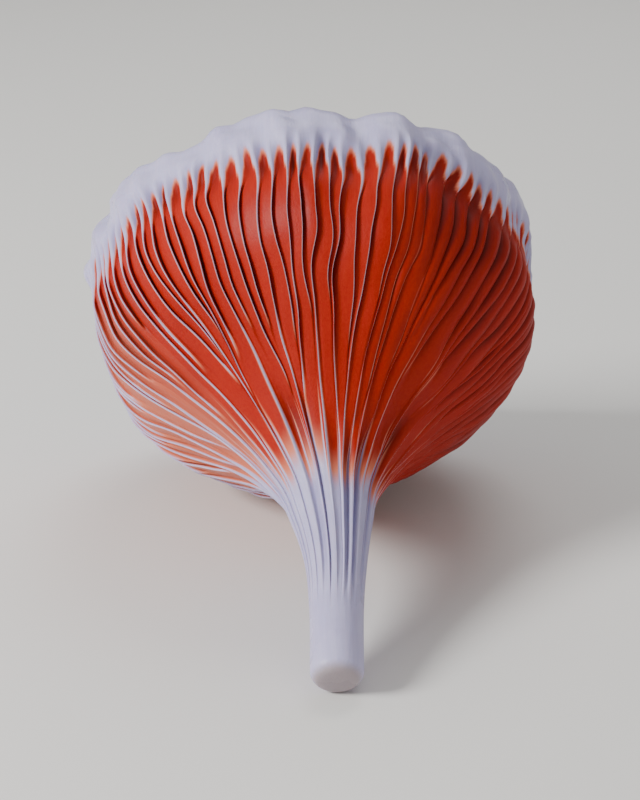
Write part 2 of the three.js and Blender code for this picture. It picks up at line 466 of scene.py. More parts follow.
step = blend(STEM_STEP, BELLY_STEP, on_cap) * on_stem * ease(*STEP_GROWS, below_comb)
step = step * (1 + 0.3 * own_wobble(10) + 0.25 * waves(3, (3, 8), (20, 50)))
step = step * (1 + 0.3 * broad + 0.6 * turned_under) * stands
groove = FOLD_HOLLOW * on_stem * comb * blend(0.3, 1.0, on_cap)
ridge_hollow = RIDGE_HOLLOW * 4 * pitch * on_stem * (1 - on_cap)
comb_hollow = COMB_GROOVE * ease(-4.0, 2.0, below_comb) * (1 - ease(2.5, 10.0, below_comb))
groove = groove + comb_hollow * (1 + 0.5 * own_wobble(WHOLE_GILL))
print("highest step", round(float(step.max()), 1), "mm, middling one", round(float(np.median(step)), 2))

# %% [markdown]
# ## Depths of the edges
#
# A standing gill's edge lies near the surface, and that of one that has ended lies in the face
# of its neighbour, so that nothing of it shows. A real belly is also fuller on some sides than
# on others. Sculpting could swell it, but not evenly through 96 thin plates. Depths in
# millimetres under the outline can: the same number less for every gill on that side.

# %% How deep each edge lies
FACE_BULGE = 2.5  # how round the faces are
BROAD_PLATE_BULGE = 0.4  # the broad plates bulge out over the rest by this much, in mm
RIGHT_BULGE = 2.0  # and the belly on the side of +X by this much
RIGHT_BULGE_AT = 0.0  # azimuth, in degrees
EDGE_WAVE = 0.22  # the edges rise and fall by this much, in mm


def face_depth(bottom, top, share):
    """Depth of a rounded face a share of the way from the slit at its foot to its edge."""
    return top + (bottom - top) * (1 - share) ** FACE_BULGE


def edge_between(bottom, top, at, stands, full, hollow):
    """Depth of an edge that ends between two others, given as (left, own, right)."""
    left, own, right = at
    share = (own - left) / np.maximum(right - left, 1e-6)
    ended = face_depth(bottom, top, share) + hollow * (1 - (2 * share - 1) ** 2)
    return blend(ended, full, stands)


full_depth = EDGE_WAVE * (1 + own_wobble(8)) * on_cap * comb
right = ease(0.55, 1.0, np.cos(np.radians(edge_azimuth - RIGHT_BULGE_AT)))
below_margin = on_cap * (1 - ease(SHOULDER_HEIGHT + 10, GILL_TOP_HEIGHT, height))
right = right * ease(SHOULDER_HEIGHT - 2, SHOULDER_HEIGHT + 9, height)
full_depth = full_depth - (BROAD_PLATE_BULGE * broad + RIGHT_BULGE * right) * below_margin
long_depth = of_kind(full_depth, LONG)
mid_depth = edge_between(
    long_depth + of_kind(step, LONG), next_set(long_depth),
    (long_at, mid_at, next_long_at), mid_stands, of_kind(full_depth, MIDDLING),
    of_kind(ridge_hollow, MIDDLING),
)
first_depth = edge_between(
    long_depth + of_kind(step, LONG), mid_depth,
    (long_at, first_at, mid_at), first_stands, of_kind(full_depth, FIRST_SHORT),
    of_kind(ridge_hollow, FIRST_SHORT) / 4,
)
last_depth = edge_between(
    mid_depth + of_kind(step, MIDDLING), next_set(long_depth),
    (mid_at, last_at, next_long_at), last_stands, of_kind(full_depth, LAST_SHORT),
    of_kind(ridge_hollow, LAST_SHORT) / 4,
)
edge_depth = all_kinds(long_depth, first_depth, mid_depth, last_depth)
bottom = edge_depth + step
print("edges lie", np.round([edge_depth.min(), edge_depth.max()], 1), "mm under the outline")

# %% [markdown]
# ## Folding the skin
#
# Each real gill is a plate with a face, a thin rounded edge and an underside that goes back into
# the slit. A solidify modifier could thicken sheets into plates, but where they meet the flesh
# it would leave seams. So the one skin is folded: of the eight points that a gill has in a row,
# one lies down in the slit behind the gill before, four on the face, one on the edge and two
# under it. Where an edge stands, its points fold under it. Where none does, on the stem and in
# the margin, the points spread evenly. A place is a share of the way from the last edge (0) to
# the gill's own edge (1), and the points after the edge lie beneath the next gill's face.

# %% The eight points of every gill in every row
EDGE_WIDTH = 0.36  # mm
UNDERCUT = 0.17  # share of a gill's width that lies open beneath its edge
SLIT_DEPTH = 0.55  # the slit goes this much deeper than the face beside it, in mm
TURNED_UNDER = 0.85  # the edges that turn under do so by this much, in mm
LIP = 0.28  # thickness of the flesh right behind an edge, in mm
EVEN_PLACES = (3 / 8, 4 / 8, 5 / 8, 6 / 8, 7 / 8, 1, 1 / 8, 2 / 8)


def fold_points():
    """Azimuth and depth of each column of each row in the gill zone."""
    before_at = np.roll(edge_at, 1, axis=0)
    before_at[0] -= GILL_COUNT
    width = edge_at - before_at
    next_width = np.roll(width, -1, axis=0)
    folded = ease(0.08, 0.8, step)
    folded_before = np.roll(folded, 1, axis=0)
    opening = UNDERCUT * folded * on_cap
    opening_before = np.roll(opening * width, 1, axis=0) / width
    bottom_before = np.roll(bottom, 1, axis=0)
    half_edge = np.minimum(EDGE_WIDTH / 2 / (width * pitch), 0.15)
    under = TURNED_UNDER * turned_under * folded * stands
    edge = edge_depth + under

    def on_face(share):
        hollow = groove * (1 - abs(2 * share - 1) ** 1.6)
        return face_depth(bottom_before, edge_depth, share) + hollow + under * share**3

    def point(even_share, share, depth, fold):
        """A point on the gill's own face, blended from its spread to its folded place."""
        at = before_at + blend(even_share, share, fold) * width
        return at, blend(on_face(even_share), depth, fold)

    slit = SLIT_DEPTH * on_cap
    points = [point(EVEN_PLACES[0], -opening_before, bottom_before + slit, folded_before)]
    for i, share in ((1, 0.04), (2, 0.28), (3, 0.62), (4, 1 - half_edge)):
        points.append(point(EVEN_PLACES[i], share, on_face(share), folded_before))
    points.append((edge_at, edge))
    thickness = np.minimum(edge + np.minimum(LIP, 0.5 * step), edge_depth + 0.9 * step)
    underside = np.maximum(thickness, edge_depth + 0.62 * step)
    for i, share, depth in ((6, 0.0, thickness), (7, -0.55 * opening, underside)):
        spread = np.roll(on_face(EVEN_PLACES[i]), -1, axis=0)
        at = edge_at + blend(EVEN_PLACES[i] * next_width, share * width, folded)
        points.append((at, blend(spread, depth, folded)))

    shape = (GILL_COUNT * POINTS_PER_GILL, height.shape[1])
    spots = np.stack([p[0] for p in points], axis=1).reshape(shape)
    depths = np.stack([p[1] for p in points], axis=1)
    below_edge = (depths - edge_depth[:, None, :] * on_cap).reshape(shape)
    return spots * 360.0 / GILL_COUNT, depths.reshape(shape), below_edge


azimuth, sunk, below_edge = fold_points()
columns = GILL_COUNT * POINTS_PER_GILL
even = (np.arange(columns)[:, None] - 5) * 360.0 / columns
row_share = np.arange(height.shape[1]) / (height.shape[1] - 1)
settle = (ease(0.0, 0.06, row_share) * (1 - ease(0.96, 1.0, row_share)))[None, :]
azimuth = blend(even, azimuth, settle)
sunk = sunk * settle
below_edge = below_edge * settle
print(columns, "columns; the deepest slit goes", round(float(sunk.max()), 1), "mm under the outline")

# %% [markdown]
# ## Where the gills are red
#
# The colour of real gills is in the plates, so it starts where the plates do: on the flare, and
# later on their edges, which stay pale, than between them. At the top it starts between the
# comb's teeth. Painting by hand or an image would do, but neither would follow the gills when
# they move. Redness is worked out for each point of the mesh instead, from 0, pale, to 1, red,
# and the material reads it. On the side where the plates are broad, the lower plates are painted
# paler and more salmon, and their pale turns red more slowly: a painted glow, for light that
# shines through them there.

# %% Redness of each point
RED_FROM = 31.5  # height, in mm
# Redness starts this far below the top of the comb, for each of a gill's eight points, in mm.
RED_BELOW_COMB = np.array([-0.4, -1.4, -1.4, -0.6, 2.6, 4.0, 3.0, 1.2])
PALE = np.array([0, 0, 0, 0, 0.06, 1, 0.6, 0])[None, :, None]  # how pale each of the eight is
BLUSH_LENGTH = 11.0  # pale turns to red over this length, in mm

red_start = RED_FROM + 2.2 * own_wobble(WHOLE_GILL) + 1.2 * waves(3, (1, 4), (200, 300))
red_start = red_start[:, None, :]
# on the broad side the pale turns red over a longer length, part of that side's painted glow
blush = (BLUSH_LENGTH + 4 * broad)[:, None, :]
edge_share = PALE * ease(0.5, 0.95, stands)[:, None, :]
# painted shade: where the edges turn under, on the side away from the key light, they lose most of
# their pale
edge_share = edge_share * (1 - 0.85 * turned_under[:, None, :])
# painted glow: the lower plates on the broad side are painted paler, for light shining through them
painted_glow = ease(0.1, 0.85, np.cos(np.radians(edge_azimuth - BROAD_PLATES_AT + 8)))
painted_glow = (painted_glow * (1 - ease(SHOULDER_HEIGHT - 2, GILL_TOP_HEIGHT, height)))[:, None, :]
from_stem = ease(red_start + 7 * PALE, red_start + blush + 6 * PALE, height)
starts_at = RED_BELOW_COMB[None, :, None]
from_comb = ease(starts_at, starts_at + 3, below_comb[:, None, :])
red = (from_stem * from_comb * (1 - edge_share) * (1 - 0.42 * painted_glow)).reshape(columns, -1)
print("more than half red:", round(100 * float((red > 0.5).mean())), "% of the gills' points")

# %% [markdown]
# ## One closed skin
#
# The real mushroom is one unbroken skin. Foot, gills and cap could be three meshes joined by a
# boolean or a remesh, but the first is fragile and the second blurs. The gills need hundreds of
# columns, and the smooth foot, margin and crown don't, so one mesh changes from fine to coarse
# columns where it is smooth, with a fan of triangles for each coarse step.

# %% Columns of a row
COARSE_STEP = 4  # fine columns to one coarse column
coarse_azimuth = even[::COARSE_STEP, 0]


def ring_at(row):
    """Azimuths, depths, depths below the edges and redness of one row's columns."""
    if gill_from <= row < gill_to:
        i = row - gill_from
        return azimuth[:, i], sunk[:, i], below_edge[:, i], red[:, i]
    flat = np.zeros_like(coarse_azimuth)
    return coarse_azimuth, flat, flat, flat


print(len(coarse_azimuth), "coarse columns,", columns, "fine ones")

# %% [markdown]
# ## Dents of the margin
#
# Damp flesh that has been pressed by its neighbours and by the picker's hand is never quite
# smooth, and the dents are what catch the light on the margin. A displace modifier could
# make them, but it runs after the mesh is made and would move the points that it rests on by
# an unknown amount. Eight shallow waves are added while the rings are made instead.

# %% Dents
DENT_SIZE = 0.2  # mm
dents = [
    (rng.integers(12, 48), rng.uniform(8, 40), rng.uniform(0, 2 * math.pi)) for _ in range(8)
]


def dent(row, az):
    """Soft dents of the margin and of the cap above it, in mm outwards."""
    total = np.zeros_like(az)
    for turns, length, phase in dents:
        total += np.sin(turns * np.radians(az) + 2 * math.pi * row_along[row] / length + phase)
    reach = min(1.0, (row_radius[row] / (CAP_RADIUS - MARGIN_ROLL)) ** 2)
    above_gills = ease(GILL_TOP_HEIGHT - 4, GILL_TOP_HEIGHT + 3, row_height[row])
    return DENT_SIZE * total * reach * above_gills


print("deepest dent on the margin:", round(float(-dent(gill_to, coarse_azimuth).min()), 2), "mm")

# %% [markdown]
# ## Rings of points
#
# Each row becomes a ring round the stem. Its points start on the outline, go into the flesh by
# their depth, square to the outline, and then move with the lobes and the lean. A single point
# closes the skin at the foot and at the crown. Each point keeps three facts for the material:
# how deep it lies below its gill's edge, how red it is and how far along the outline it is.

# %% Rings
rings = []
facts = []
for row in range(len(rows)):
    az, down, below, redness = ring_at(row)
    out = dent(row, az) - down
    r = row_radius[row] + out * row_out[row][0]
    z = row_height[row] + out * row_out[row][1]
    rings.append(place(r, z, az))
    facts.append(np.column_stack([below, redness, np.full_like(az, row_along[row])]))

crown_height = MARGIN_HEIGHT + MARGIN_ROLL - CROWN_DIP
poles = place(np.zeros(2), np.array([-FOOT_BULGE, crown_height]), np.zeros(2))
starts = np.cumsum([0] + [len(ring) for ring in rings])
vertices = np.vstack([*rings, poles])
pole_facts = np.array([[0, 0, 0], [0, 0, row_along[-1]]])
vertex_facts = np.vstack([*facts, pole_facts])
print(len(vertices), "points in", len(rings), "rings")

# %% [markdown]
# ## A map for textures
#
# Anything that later turns the noise and colours into an image needs to know where each bit of
# skin lies on it. Blender's smart unwrap would cut the folds into thousands of islands. The
# skin is a grid already, so the map is laid out from its rows and columns, in three bands with
# a third of the way round in each, so that every gill gets three times the width that one band
# would give it.

# %% Where a corner lies on the map
BANDS = 3
BAND_GAP = 0.01
up_share = row_along / row_along[-1]


def texture_place(row, fine_column, band):
    """Where a corner lies on the map."""
    per_band = columns / BANDS
    u = (fine_column - band * per_band) / per_band
    v = (band + blend(BAND_GAP, 1 - BAND_GAP, up_share[row])) / BANDS
    return (blend(BAND_GAP, 1 - BAND_GAP, u), v)


print("the map's width for one gill:", round(BANDS / GILL_COUNT, 3), "of the image")

# %% [markdown]
# ## Faces
#
# Between two rows of equal columns the skin is made of four-sided faces, which shade smoothly.
# Where fine columns meet coarse ones, each coarse step is a fan of five triangles. Blender's
# bridge tool would choose its own pairs there, so the faces are written out by rule.

# %% Faces between the rings
faces = []
corners = []


def add_face(*spots):
    """Adds a face from (row, fine column) spots; row -1 is the foot's point, -2 the crown's."""
    middle = sum(column for _, column in spots) / len(spots)
    band = min(int(middle * BANDS / columns), BANDS - 1)
    face = []
    for row, column in spots:
        if row < 0:
            face.append(len(vertices) - 2 if row == -1 else len(vertices) - 1)
            corners.append(texture_place(0 if row == -1 else len(rows) - 1, column, band))
            continue
        size = len(rings[row])
        step = columns // size
        face.append(starts[row] + (column // step) % size)
        corners.append(texture_place(row, column, band))
    faces.append(face)


def add_band(low, high):
    """Faces between two neighbouring rows, with a fan where fine meets coarse."""
    fine_low, fine_high = len(rings[low]) == columns, len(rings[high]) == columns
    step = 1 if fine_low and fine_high else COARSE_STEP
    for column in range(0, columns, step):
        end = column + step
        if fine_low == fine_high:
            add_face((low, column), (low, end), (high, end), (high, column))
            continue
        half = column + step // 2
        if fine_high:
            for i in range(column, half):
                add_face((low, column), (high, i + 1), (high, i))
            for i in range(half, end):
                add_face((low, end), (high, i + 1), (high, i))
            add_face((low, column), (low, end), (high, half))
        else:
            for i in range(column, half):
                add_face((high, column), (low, i), (low, i + 1))
            for i in range(half, end):
                add_face((high, end), (low, i), (low, i + 1))
            add_face((high, end), (high, column), (low, half))


for row in range(len(rows) - 1):
    add_band(row, row + 1)
for column in range(0, columns, COARSE_STEP):
    end = column + COARSE_STEP
    add_face((-1, column + COARSE_STEP / 2), (0, end), (0, column))
    top = len(rows) - 1
    add_face((top, column), (top, end), (-2, column + COARSE_STEP / 2))
triangles = sum(len(face) - 2 for face in faces)
print(len(faces), "faces,", triangles, "triangles")

# %% [markdown]
# ## Lying down
#
# A cut mushroom on a slim stem doesn't stand. It tips over until the foot and the underside
# of the cap touch the surface together. A rigid body simulation could let it fall, but takes
# longer and is less exact. The tilt is found by halving instead: too low and the cap would be
# under the surface, too high and the foot would.


# %% Find the tilt and lay it down
def heights_at(tilt):
    """Height of each point once the stem's axis stands tilt degrees above the surface."""
    angle = math.radians(tilt)
    return vertices[:, 2] * math.sin(angle) - vertices[:, 1] * math.cos(angle)


def resting_tilt():
    """The tilt at which foot and cap touch together."""
    on_foot = vertices[:, 2] < STEM_LENGTH / 2
    low = 0.0
    high = 80.0
    for _ in range(40):
        tilt = (low + high) / 2
        reach = heights_at(tilt)
        if reach[~on_foot].min() < reach[on_foot].min():
            low = tilt
        else:
            high = tilt
    return tilt


tilt = resting_tilt()
angle = math.radians(tilt - 90)
turned = np.column_stack([
    vertices[:, 0],
    vertices[:, 1] * math.cos(angle) - vertices[:, 2] * math.sin(angle),
    vertices[:, 1] * math.sin(angle) + vertices[:, 2] * math.cos(angle),
])
low_corner = np.array(cad_box[0]) / MM
high_corner = np.array(cad_box[1]) / MM
offset = (low_corner + high_corner) / 2 - (turned.min(axis=0) + turned.max(axis=0)) / 2
offset[2] = low_corner[2] - turned[:, 2].min()
lying = turned + offset
print("tilt", round(tilt, 2), "degrees; size", np.round(np.ptp(lying, axis=0), 1), "mm")

# %% [markdown]
# ## The mesh
#
# Points and faces become a Blender mesh in metres. bmesh could build it face by face, but
# from_pydata takes whole lists at once and keeps their order. The facts go with it as
# attributes, numbers that each point carries, together with its place on the standing mushroom,
# so that the flesh's pattern grows along the stem and not along the floor. The piece then rides
# on the root body and stands for the plain solid, which is hidden.

# %% Make the mesh
mesh = bpy.data.meshes.new("mushroom_flesh")
mesh.from_pydata((lying * MM).tolist(), [], faces)
mesh.polygons.foreach_set("use_smooth", [True] * len(mesh.polygons))
texture_map = mesh.uv_layers.new(name="OFBake")
texture_map.data.foreach_set("uv", np.array(corners).ravel())


def add_fact(name, values):
    """Stores a number for each point, for the material to read."""
    layer = mesh.attributes.new(name, "FLOAT", "POINT")
    layer.data.foreach_set("value", np.ascontiguousarray(values, dtype=np.float32))


for column, name in enumerate(("below_edge_mm", "redness", "along_mm")):
    add_fact(name, vertex_facts[:, column])
grown = mesh.attributes.new("grown_mm", "FLOAT_VECTOR", "POINT")
grown.data.foreach_set("vector", vertices.astype(np.float32).ravel())
mesh.validate()
mushroom = bpy.data.objects.new("mushroom_flesh", mesh)
bpy.context.scene.collection.objects.link(mushroom)
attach(mushroom, "root")
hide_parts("mushroom")
print("mesh:", len(mesh.vertices), "points,", len(mesh.polygons), "faces")

# %% [markdown]
# ## Flesh
#
# This is fresh mushroom flesh, a felt of fine threads full of water that grew into its shape.
# It is damp and slightly see-through, so light goes a millimetre into it and comes out warmer,
# and its skin has a soft satin shine. One material covers the whole skin, because the colours
# run into each other: pale lilac on stem and margin, salmon and brick red on the gills, tan on
# the cap. Image textures could hold that, but numbers stored on the mesh say exactly where each
# colour belongs, and noise adds what varies within it.


# %% Colours and nodes
def linear(hex_colour):
    """A hex colour as screens show it, turned to the linear numbers that shaders use."""
    parts = [int(hex_colour[i : i + 2], 16) / 255 for i in (1, 3, 5)]
    return (*[c / 12.92 if c <= 0.04045 else ((c + 0.055) / 1.055) ** 2.4 for c in parts], 1.0)


def add_node(tree, kind, settings=None, values=None, links=None):
    """Adds a node with its settings and socket values, and links other sockets into it."""
    node = tree.nodes.new(kind)
    for name, value in (settings or {}).items():
        setattr(node, name, value)
    for socket, value in (values or {}).items():
        node.inputs[socket].default_value = value
    for socket, source in (links or {}).items():
        tree.links.new(source, node.inputs[socket])
    return node


def new_material(name):
    """An empty node material."""
    material = bpy.data.materials.new(name)
    material.use_nodes = True
    material.node_tree.nodes.clear()
    return material


print("middle grey in linear numbers:", round(linear("#808080")[0], 3))

# %% [markdown]
# ## What the mesh knows about itself
#
# Attribute nodes read the numbers that the mesh carries. Height or distance from an axis could
# be read from the place of each point, but not how deep a point lies in a slit, which drives the
# painted shade in the gills' slits and in the stem's hollows.

# %% Facts from the mesh
flesh = new_material("fresh_mushroom_flesh")
tree = flesh.node_tree
fact = {
    name: add_node(tree, "ShaderNodeAttribute", {"attribute_name": name})
    for name in ("below_edge_mm", "redness", "along_mm", "grown_mm")
}
MIX_A, MIX_B, MIX_RESULT = 6, 7, 2  # the colour sockets of a Mix node
CROWN_STARTS = float(row_along[gill_to + 8])  # part of the way over the rolled margin
CROWN_MIDDLE = float(row_along[-1])
print("the crown's skin starts", round(CROWN_STARTS), "mm along the outline")

# %% [markdown]
# ## Noise at the flesh's own scales
#
# Up close, the flesh is a felt of threads that run along the stem, with slow changes of tint
# where it is wetter or drier. Waves or a Voronoi pattern would look ordered; Noise doesn't.
# Places are in millimetres, so a noise's scale is one over the size of what it draws. The real
# threads are in bundles of about 0.1 mm and their grain is finer still. Both are drawn three to
# five times as coarse, so that they show at all.

# %% Patches, fibres and grain
PATCH_SIZE = 9.0  # mm
FIBRE_WIDTH = 0.45  # mm
FIBRE_LENGTH = 7.0  # mm
GRAIN_SIZE = 0.3  # mm
patches = add_node(
    tree, "ShaderNodeTexNoise", {}, {"Scale": 1 / PATCH_SIZE, "Detail": 3.0, "Roughness": 0.55},
    {"Vector": fact["grown_mm"].outputs["Vector"]},
)
stretched = add_node(
    tree, "ShaderNodeVectorMath", {"operation": "MULTIPLY"},
    {1: (1 / FIBRE_WIDTH, 1 / FIBRE_WIDTH, 1 / FIBRE_LENGTH)},
    {0: fact["grown_mm"].outputs["Vector"]},
)
fibres = add_node(
    tree, "ShaderNodeTexNoise", {}, {"Scale": 1.0, "Detail": 4.0, "Roughness": 0.6},
    {"Vector": stretched.outputs["Vector"]},
)
grain = add_node(
    tree, "ShaderNodeTexNoise", {}, {"Scale": 1 / GRAIN_SIZE, "Detail": 2.0, "Roughness": 0.5},
    {"Vector": fact["grown_mm"].outputs["Vector"]},
)
print("noise draws patches of", PATCH_SIZE, "mm, fibres of", FIBRE_WIDTH, "mm and grain of", GRAIN_SIZE)

# %% [markdown]
# ## Fibrils on the cap
#
# The cap's skin is overlaid with fine fibrils, hairs pressed flat, that run out from its middle.
# A wave texture could draw rings or stripes, but no rays. Noise is drawn on a cylinder instead:
# the direction from the middle, pushed out to a circle, gives the place round the cap, and the
# length along the skin gives the place up it. That draws rays 5 mm long, which are 0.3 mm wide
# near the middle and 1 mm at the margin, twice as coarse as the real ones, so that they show.

# %% Fibrils that run out from the middle of the cap
FIBRIL_TURNS = 36.0  # radius of the circle, in patches of noise: 2 pi times that many go round
FIBRIL_LENGTH = 5.0  # mm
flat = add_node(
    tree, "ShaderNodeVectorMath", {"operation": "MULTIPLY"}, {1: (1.0, 1.0, 0.0)},
    {0: fact["grown_mm"].outputs["Vector"]},
)
around = add_node(
    tree, "ShaderNodeVectorMath", {"operation": "NORMALIZE"}, {}, {0: flat.outputs["Vector"]}
)
turned_out = add_node(
    tree, "ShaderNodeVectorMath", {"operation": "SCALE"}, {"Scale": FIBRIL_TURNS},
    {0: around.outputs["Vector"]},
)
outwards = add_node(
    tree, "ShaderNodeMath", {"operation": "MULTIPLY"}, {1: 1 / FIBRIL_LENGTH},
    {0: fact["along_mm"].outputs["Fac"]},
)
lengthwise = add_node(tree, "ShaderNodeCombineXYZ", {}, {}, {"Z": outwards.outputs[0]})
fibril_place = add_node(
    tree, "ShaderNodeVectorMath", {"operation": "ADD"}, {},
    {0: turned_out.outputs["Vector"], 1: lengthwise.outputs["Vector"]},
)
fibrils = add_node(
    tree, "ShaderNodeTexNoise", {}, {"Scale": 1.0, "Detail": 3.0, "Roughness": 0.6},
    {"Vector": fibril_place.outputs["Vector"]},
)
print("rays of noise round the cap: about", round(2 * math.pi * FIBRIL_TURNS))

# %% [markdown]
# ## Pale flesh
#
# Stem, margin and gill edges have no red in them: their flesh is a pale, cool lilac, mottled
# where it is wetter, with slightly darker threads along the stem. In the hollows between two
# ridges a deeper lilac is painted in: painted shade, for the light that falls in and loses itself
# there. The renderer would shade deep hollows alone, but these are a few tenths of a millimetre
# deep, so their shade is painted.

# %% Pale flesh of stem and margin
pale = add_node(
    tree, "ShaderNodeMix", {"data_type": "RGBA"},
    {MIX_A: linear("#ABA4CC"), MIX_B: linear("#CFCAE6")}, {"Factor": patches.outputs["Fac"]},
)
fibre_tint = add_node(
    tree, "ShaderNodeMapRange", {},
    {"From Min": 0.35, "From Max": 0.75, "To Min": 0.0, "To Max": 0.28},
    {"Value": fibres.outputs["Fac"]},
)
# painted shade: the pale flesh turns a deeper lilac with its depth below the edges, in the hollows
hollow_shade_share = add_node(
    tree, "ShaderNodeMapRange", {"interpolation_type": "SMOOTHSTEP"},
    {"From Min": 0.05, "From Max": 0.9, "To Min": 0.0, "To Max": 0.7},
    {"Value": fact["below_edge_mm"].outputs["Fac"]},
)
pale_fibred = add_node(
    tree, "ShaderNodeMix", {"data_type": "RGBA"}, {MIX_B: linear("#9C95C2")},
    {"Factor": fibre_tint.outputs[0], MIX_A: pale.outputs[MIX_RESULT]},
)
pale_with_hollow_shade = add_node(
    tree, "ShaderNodeMix", {"data_type": "RGBA"}, {MIX_B: linear("#7D74A8")},
    {"Factor": hollow_shade_share.outputs[0], MIX_A: pale_fibred.outputs[MIX_RESULT]},
)
print("pale flesh: four tints of lilac, by patch, thread and hollow")

# %% [markdown]
# ## Red faces
#
# The faces of the gills are brick red, streaked with a lighter orange red along their threads.
# Down in the slits a dark red is painted in: painted shade, in the red of the light that bounces
# between the plates. One flat red would leave the faces like painted card. The depth below the
# edge in millimetres drives the painted shade, so each slit darkens by its own depth.

# %% Red faces of the gills: bright on the round of a face, painted shade down in its slit
SLIT_SHADE_FROM = 0.25  # mm below the edge
SLIT_SHADE_FULL_AT = 1.5  # mm below the edge
# painted shade: the red darkens with depth below the edge, down in each slit
painted_slit_shade = add_node(
    tree, "ShaderNodeMapRange", {"interpolation_type": "SMOOTHSTEP"},
    {"From Min": SLIT_SHADE_FROM, "From Max": SLIT_SHADE_FULL_AT},
    {"Value": fact["below_edge_mm"].outputs["Fac"]},
)
bright_red = add_node(
    tree, "ShaderNodeMix", {"data_type": "RGBA"},
    {MIX_A: linear("#900C02"), MIX_B: linear("#B01C07")},
    {"Factor": patches.outputs["Fac"]},
)
streaked_red = add_node(
    tree, "ShaderNodeMix", {"data_type": "RGBA"}, {MIX_B: linear("#BC3612")},
    {"Factor": fibre_tint.outputs[0], MIX_A: bright_red.outputs[MIX_RESULT]},
)
reds = add_node(
    tree, "ShaderNodeMix", {"data_type": "RGBA"}, {MIX_B: linear("#620C05")},
    {"Factor": painted_slit_shade.outputs[0], MIX_A: streaked_red.outputs[MIX_RESULT]},
)
print("reds darken from", SLIT_SHADE_FROM, "to", SLIT_SHADE_FULL_AT, "mm below a gill's edge")

# %% [markdown]
# ## Tan skin
#
# The top of the cap sees the sun, and its skin is tan, made of darker fibrils over a light
# ground. A second material could be given to the cap's faces, but its edge would follow them in
# steps. The length along the outline blends the tan in softly instead, over the rolled margin.

# %% Tan skin in the middle of the cap
ALL_TAN = CROWN_MIDDLE - 8  # mm along the outline
crown_share = add_node(
    tree, "ShaderNodeMapRange", {"interpolation_type": "SMOOTHSTEP"},
    {"From Min": CROWN_STARTS, "From Max": ALL_TAN},
    {"Value": fact["along_mm"].outputs["Fac"]},
)
tan = add_node(
    tree, "ShaderNodeMix", {"data_type": "RGBA"},
    {MIX_A: linear("#7E5B3F"), MIX_B: linear("#C9A988")},
    {"Factor": fibrils.outputs["Fac"]},
)
print("tan comes in over", round(ALL_TAN - CROWN_STARTS), "mm")

# %% [markdown]
# ## Cut end
#
# A knife went through the foot, and cut flesh turns slightly brown in air, most in the middle
# of the cut. The tint is also darker than the browning alone, a painted shade on the end face.
# The cut face is only 8 mm wide, so a tint is enough: it fades out over the foot's
# rounded edge, by the length along the outline, which starts in the middle of the cut.

# %% Cut end of the stem, slightly browned and with painted shade
cut_browning_and_shade = add_node(
    tree, "ShaderNodeMapRange", {"interpolation_type": "SMOOTHSTEP"},
    {"From Min": FOOT_RADIUS - FOOT_ROUNDING, "From Max": FOOT_RADIUS, "To Min": 0.8, "To Max": 0.0},
    {"Value": fact["along_mm"].outputs["Fac"]},
)
# the cut's tint: partly its own browning, partly painted shade on the end face
pale_or_cut = add_node(
    tree, "ShaderNodeMix", {"data_type": "RGBA"}, {MIX_B: linear("#A3948F")},
    {"Factor": cut_browning_and_shade.outputs[0], MIX_A: pale_with_hollow_shade.outputs[MIX_RESULT]},
)
print("the browning ends", FOOT_RADIUS, "mm along the outline")

# %% [markdown]
# ## All the colours together
#
# Real flesh goes from pale to red by way of salmon, where the red is thin, and so does the painted
# glow on the broad plates. Mixing lilac straight into red would give a dull mauve on the way.
# So redness first mixes salmon over the pale flesh and then red over the salmon. The tan goes
# over everything last. A colour ramp could do two of these steps, but only between plain
# colours, and each of these is already a mix.

# %% All the colours together
salmon_share = add_node(
    tree, "ShaderNodeMapRange", {"interpolation_type": "SMOOTHSTEP"},
    {"From Min": 0.05, "From Max": 0.55},
    {"Value": fact["redness"].outputs["Fac"]},
)
red_share = add_node(
    tree, "ShaderNodeMapRange", {"interpolation_type": "SMOOTHSTEP"},
    {"From Min": 0.4, "From Max": 0.95},
    {"Value": fact["redness"].outputs["Fac"]},
)
pale_or_salmon = add_node(
    tree, "ShaderNodeMix", {"data_type": "RGBA"}, {MIX_B: linear("#D67A5E")},
    {"Factor": salmon_share.outputs[0], MIX_A: pale_or_cut.outputs[MIX_RESULT]},
)
pale_or_red = add_node(
    tree, "ShaderNodeMix", {"data_type": "RGBA"}, {},
    {"Factor": red_share.outputs[0], MIX_A: pale_or_salmon.outputs[MIX_RESULT],
     MIX_B: reds.outputs[MIX_RESULT]},
)
colour = add_node(
    tree, "ShaderNodeMix", {"data_type": "RGBA"}, {},
    {"Factor": crown_share.outputs[0], MIX_A: pale_or_red.outputs[MIX_RESULT],
     MIX_B: tan.outputs[MIX_RESULT]},
)
print("colour nodes so far:", len(tree.nodes))

# %% [markdown]
# ## Relief and shine
#
# The threads stand a hundredth of a millimetre or so out of the skin, which is too little for
# geometry, so bump draws them. The pale skin is the smoothest and shines most, unevenly where it
# is wetter, and the red faces carry spores, which make them more matt. An IOR of 1.4 lies
# between water's 1.33 and dry matter's 1.5. Light goes 1.2 mm into the flesh, red furthest.

